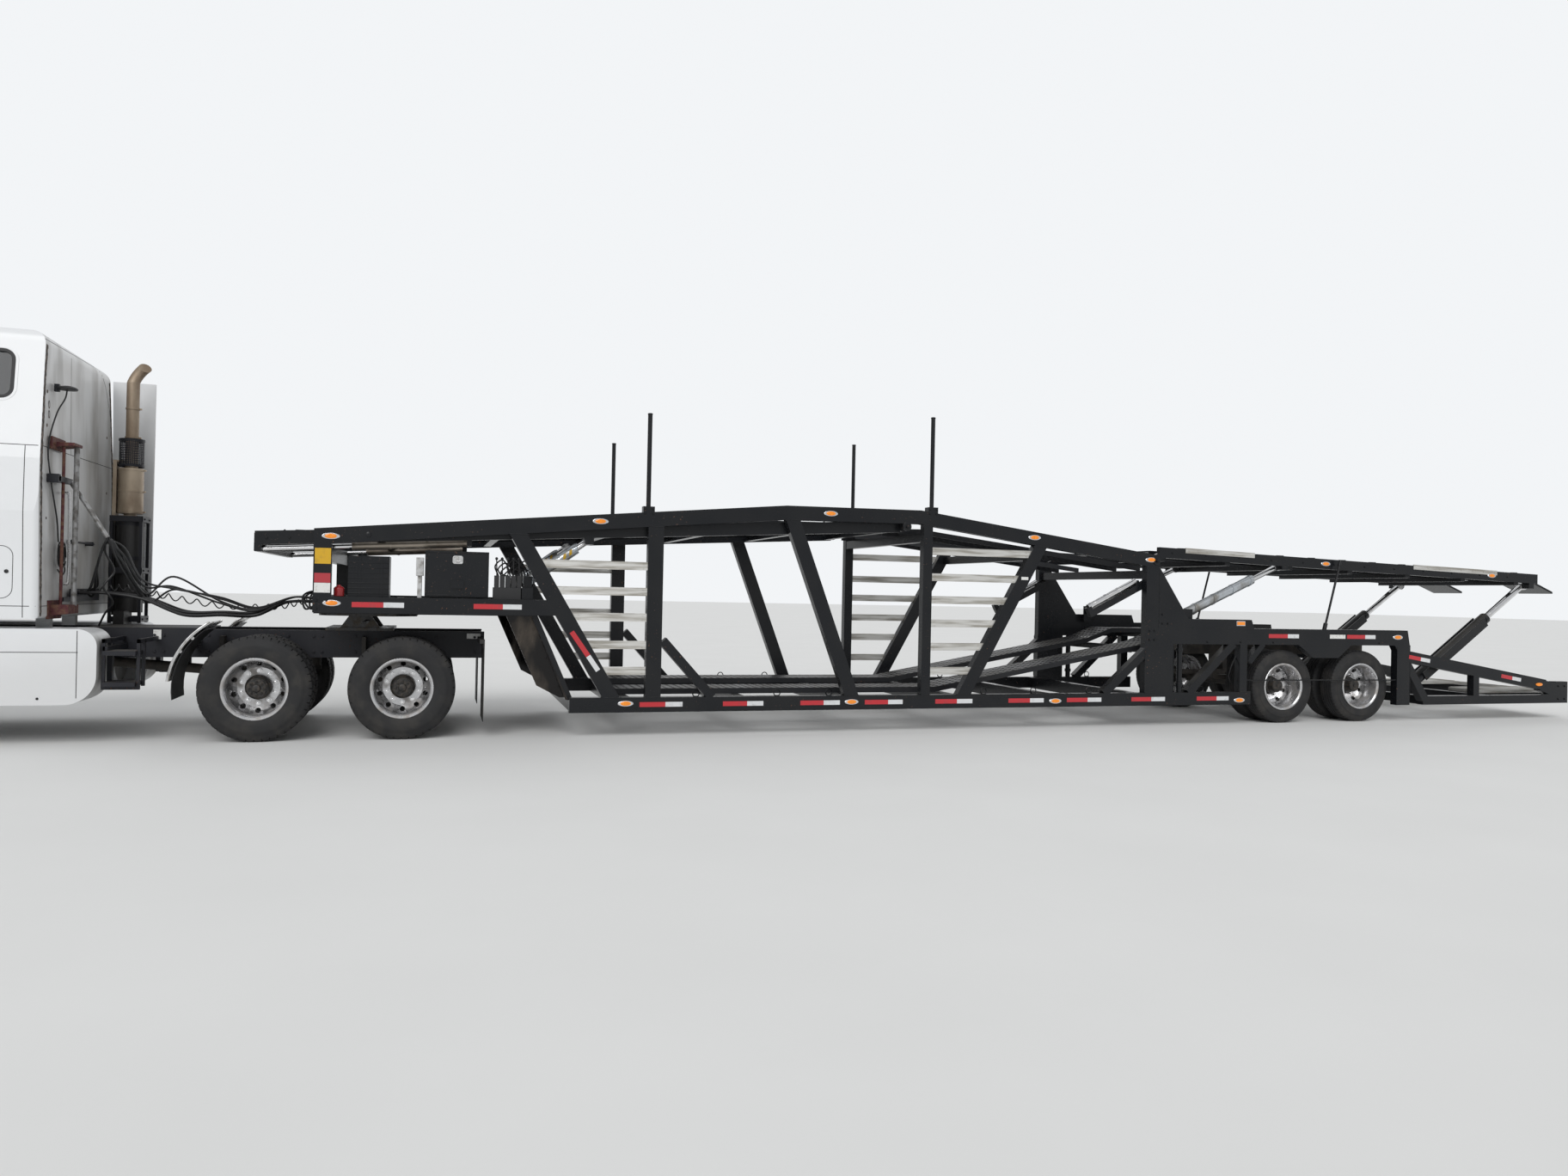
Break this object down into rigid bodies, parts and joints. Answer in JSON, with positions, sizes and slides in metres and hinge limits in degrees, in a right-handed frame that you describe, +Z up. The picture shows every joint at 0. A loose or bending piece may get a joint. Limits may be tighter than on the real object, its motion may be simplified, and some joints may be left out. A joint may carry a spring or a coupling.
{
  "type": "car transporter truck",
  "caption": "Sleeper tractor with a two-level car hauling semi-trailer, hinged at its fifth wheel, with tilting decks and turning wheels.",
  "frame": {"origin": "on the road at mid-length, on the truck's middle line", "axes": "+X rearwards along the truck, +Y to its right-hand side, +Z up"},
  "size_m": [23.61, 2.9, 3.8603],
  "materials": {
    "amber_lens": "amber lamp plastic",
    "bare_steel": "bare steel rods and shafts",
    "black_paint": "satin black chassis paint",
    "bright_slat": "plain mill-finish aluminium",
    "cast_part": "grimy cast iron",
    "clear_glass": "tinted cab glass",
    "guard_plastic": "white and black fender plastic",
    "hose_rubber": "black service hose",
    "interior_trim": "grey cab trim",
    "lamp_lens": "clear lamp lens",
    "stack_coating": "tan heat-stained pipe coating",
    "tyre_rubber": "black tyre rubber",
    "wheel_alloy": "bright forged aluminium",
    "white_paint": "gloss white body paint"
  },
  "bodies": {
    "tractor": {"tractor_frame": "black_paint", "cab_shell": "white_paint", "cab_glass": "clear_glass", "cab_interior": "interior_trim", "engine_block": "cast_part", "front_bumper": "white_paint", "fairings": "white_paint", "exhaust_stack": "stack_coating", "hose_rack": "black_paint", "fifth_wheel": "cast_part", "drive_axles": "cast_part", "steer_axle": "cast_part", "wheel_guards": "guard_plastic", "service_hoses": "hose_rubber"},
    "trailer": {"side_frames": "black_paint", "cross_members": "black_paint", "deck_runways": "black_paint", "trailer_hoses": "hose_rubber", "trailer_axles": "cast_part", "toolbox": "black_paint", "side_rungs": "bright_slat", "marker_lamps": "amber_lens"},
    "knuckle_left": {"knuckle_left": "cast_part"},
    "steer_wheel_left": {"steer_tyre_left": "tyre_rubber", "steer_wheel_left": "wheel_alloy"},
    "knuckle_right": {"knuckle_right": "cast_part"},
    "steer_wheel_right": {"steer_tyre_right": "tyre_rubber", "steer_wheel_right": "wheel_alloy"},
    "front_drive_wheels_left": {"front_drive_tyres_left": "tyre_rubber", "front_drive_wheels_left": "wheel_alloy"},
    "front_drive_wheels_right": {"front_drive_tyres_right": "tyre_rubber", "front_drive_wheels_right": "wheel_alloy"},
    "rear_drive_wheels_left": {"rear_drive_tyres_left": "tyre_rubber", "rear_drive_wheels_left": "wheel_alloy"},
    "rear_drive_wheels_right": {"rear_drive_tyres_right": "tyre_rubber", "rear_drive_wheels_right": "wheel_alloy"},
    "front_trailer_wheels_left": {"front_trailer_tyres_left": "tyre_rubber", "front_trailer_wheels_left": "wheel_alloy"},
    "front_trailer_wheels_right": {"front_trailer_tyres_right": "tyre_rubber", "front_trailer_wheels_right": "wheel_alloy"},
    "rear_trailer_wheels_left": {"rear_trailer_tyres_left": "tyre_rubber", "rear_trailer_wheels_left": "wheel_alloy"},
    "rear_trailer_wheels_right": {"rear_trailer_tyres_right": "tyre_rubber", "rear_trailer_wheels_right": "wheel_alloy"},
    "door_left": {"door_left": "white_paint", "door_glass_left": "clear_glass"},
    "door_right": {"door_right": "white_paint", "door_glass_right": "clear_glass"},
    "hood": {"hood_shell": "white_paint", "headlamps": "lamp_lens"},
    "toolbox_door": {"toolbox_door": "black_paint"},
    "front_deck": {"front_deck": "black_paint"},
    "rear_deck": {"rear_deck": "black_paint"},
    "front_lift_tubes": {"front_lift_tubes": "bare_steel"},
    "front_lift_rods": {"front_lift_rods": "bare_steel"},
    "rear_arm_tubes": {"rear_arm_tubes": "black_paint"},
    "rear_arm_rods": {"rear_arm_rods": "bare_steel"},
    "mid_arm_tubes": {"mid_arm_tubes": "black_paint"},
    "mid_arm_rods": {"mid_arm_rods": "bare_steel"},
    "tail_ramps": {"tail_ramps": "bright_slat"}
  },
  "joints": [
    {"name": "kingpin_yaw", "type": "hinge", "parent": "tractor", "child": "trailer", "pos_m": [-4.205, 0, 1.232], "axis": [0, 0, 1], "range_deg": [-60, 60]},
    {"name": "steering_left", "type": "hinge", "parent": "tractor", "child": "knuckle_left", "pos_m": [-10.605, -0.85, 0.505], "axis": [0, 0, 1], "range_deg": [-36, 36]},
    {"name": "steer_wheel_spin_left", "type": "hinge", "parent": "knuckle_left", "child": "steer_wheel_left", "pos_m": [-10.605, -1.04, 0.505], "axis": [0, 1, 0], "continuous": true},
    {"name": "steering_right", "type": "hinge", "parent": "tractor", "child": "knuckle_right", "pos_m": [-10.605, 0.85, 0.505], "axis": [0, 0, 1], "range_deg": [-36, 36]},
    {"name": "steer_wheel_spin_right", "type": "hinge", "parent": "knuckle_right", "child": "steer_wheel_right", "pos_m": [-10.605, 1.04, 0.505], "axis": [0, 1, 0], "continuous": true},
    {"name": "front_drive_spin_left", "type": "hinge", "parent": "tractor", "child": "front_drive_wheels_left", "pos_m": [-5.076, -0.9125, 0.505], "axis": [0, 1, 0], "continuous": true},
    {"name": "front_drive_spin_right", "type": "hinge", "parent": "tractor", "child": "front_drive_wheels_right", "pos_m": [-5.076, 0.9125, 0.505], "axis": [0, 1, 0], "continuous": true},
    {"name": "rear_drive_spin_left", "type": "hinge", "parent": "tractor", "child": "rear_drive_wheels_left", "pos_m": [-3.755, -0.9125, 0.505], "axis": [0, 1, 0], "continuous": true},
    {"name": "rear_drive_spin_right", "type": "hinge", "parent": "tractor", "child": "rear_drive_wheels_right", "pos_m": [-3.755, 0.9125, 0.505], "axis": [0, 1, 0], "continuous": true},
    {"name": "front_trailer_spin_left", "type": "hinge", "parent": "trailer", "child": "front_trailer_wheels_left", "pos_m": [6.865, -0.9575, 0.465], "axis": [0, 1, 0], "continuous": true},
    {"name": "front_trailer_spin_right", "type": "hinge", "parent": "trailer", "child": "front_trailer_wheels_right", "pos_m": [6.865, 0.9575, 0.465], "axis": [0, 1, 0], "continuous": true},
    {"name": "rear_trailer_spin_left", "type": "hinge", "parent": "trailer", "child": "rear_trailer_wheels_left", "pos_m": [8.105, -0.9575, 0.465], "axis": [0, 1, 0], "continuous": true},
    {"name": "rear_trailer_spin_right", "type": "hinge", "parent": "trailer", "child": "rear_trailer_wheels_right", "pos_m": [8.105, 0.9575, 0.465], "axis": [0, 1, 0], "continuous": true},
    {"name": "door_left_hinge", "type": "hinge", "parent": "tractor", "child": "door_left", "pos_m": [-9.887, -1.083, 1.9], "axis": [0, 0, -1], "range_deg": [0, 65]},
    {"name": "door_right_hinge", "type": "hinge", "parent": "tractor", "child": "door_right", "pos_m": [-9.887, 1.083, 1.9], "axis": [0, 0, 1], "range_deg": [0, 65]},
    {"name": "hood_tilt", "type": "hinge", "parent": "tractor", "child": "hood", "pos_m": [-11.72, 0, 0.77], "axis": [0, -1, 0], "range_deg": [0, 60]},
    {"name": "toolbox_lid", "type": "hinge", "parent": "trailer", "child": "toolbox_door", "pos_m": [-3.26, -1.212, 1.4163], "axis": [1, 0, 0], "range_deg": [0, 90]},
    {"name": "front_deck_lift", "type": "hinge", "parent": "trailer", "child": "front_deck", "pos_m": [1.575, 0, 2.3], "axis": [0, 1, 0], "range_deg": [0, 8]},
    {"name": "rear_deck_lift", "type": "hinge", "parent": "trailer", "child": "rear_deck", "pos_m": [4.885, 0, 2.01], "axis": [0, 1, 0], "range_deg": [-3, 8]},
    {"name": "front_lift_swing", "type": "hinge", "parent": "trailer", "child": "front_lift_tubes", "pos_m": [-2.556, 0, 1.59], "axis": [0, 1, 0], "range_deg": [-24.25, 0.05]},
    {"name": "front_lift_stroke", "type": "slide", "parent": "front_lift_tubes", "child": "front_lift_rods", "axis": [0.8092, 0, 0.5875], "range_m": [-0.002, 0.3549]},
    {"name": "rear_arm_swing", "type": "hinge", "parent": "trailer", "child": "rear_arm_tubes", "pos_m": [9.175, 0, 0.48], "axis": [0, 1, 0], "range_deg": [-7.39, 19.63]},
    {"name": "rear_arm_stroke", "type": "slide", "parent": "rear_arm_tubes", "child": "rear_arm_rods", "axis": [0.8207, 0, 0.5713], "range_m": [-0.4864, 0.1836]},
    {"name": "mid_arm_swing", "type": "hinge", "parent": "trailer", "child": "mid_arm_tubes", "pos_m": [5.494, 0, 1.369], "axis": [0, 1, 0], "range_deg": [-3.85, 10.17]},
    {"name": "mid_arm_stroke", "type": "slide", "parent": "mid_arm_tubes", "child": "mid_arm_rods", "axis": [0.913, 0, 0.408], "range_m": [-0.119, 0.0459]},
    {"name": "ramp_slide", "type": "slide", "parent": "trailer", "child": "tail_ramps", "axis": [1, 0, 0], "range_m": [0, 1]}
  ],
  "couplings": [
    {"joint": "steering_right", "follows": "steering_left", "ratio": 1},
    {"joint": "front_lift_swing", "follows": "front_deck_lift", "ratio": -2.9369},
    {"joint": "front_lift_stroke", "follows": "front_deck_lift", "m_per_rad": 2.4538},
    {"joint": "rear_arm_swing", "follows": "rear_deck_lift", "ratio": 2.3761},
    {"joint": "rear_arm_stroke", "follows": "rear_deck_lift", "m_per_rad": -3.368},
    {"joint": "mid_arm_swing", "follows": "rear_deck_lift", "ratio": 1.2288},
    {"joint": "mid_arm_stroke", "follows": "rear_deck_lift", "m_per_rad": -0.8136}
  ]
}
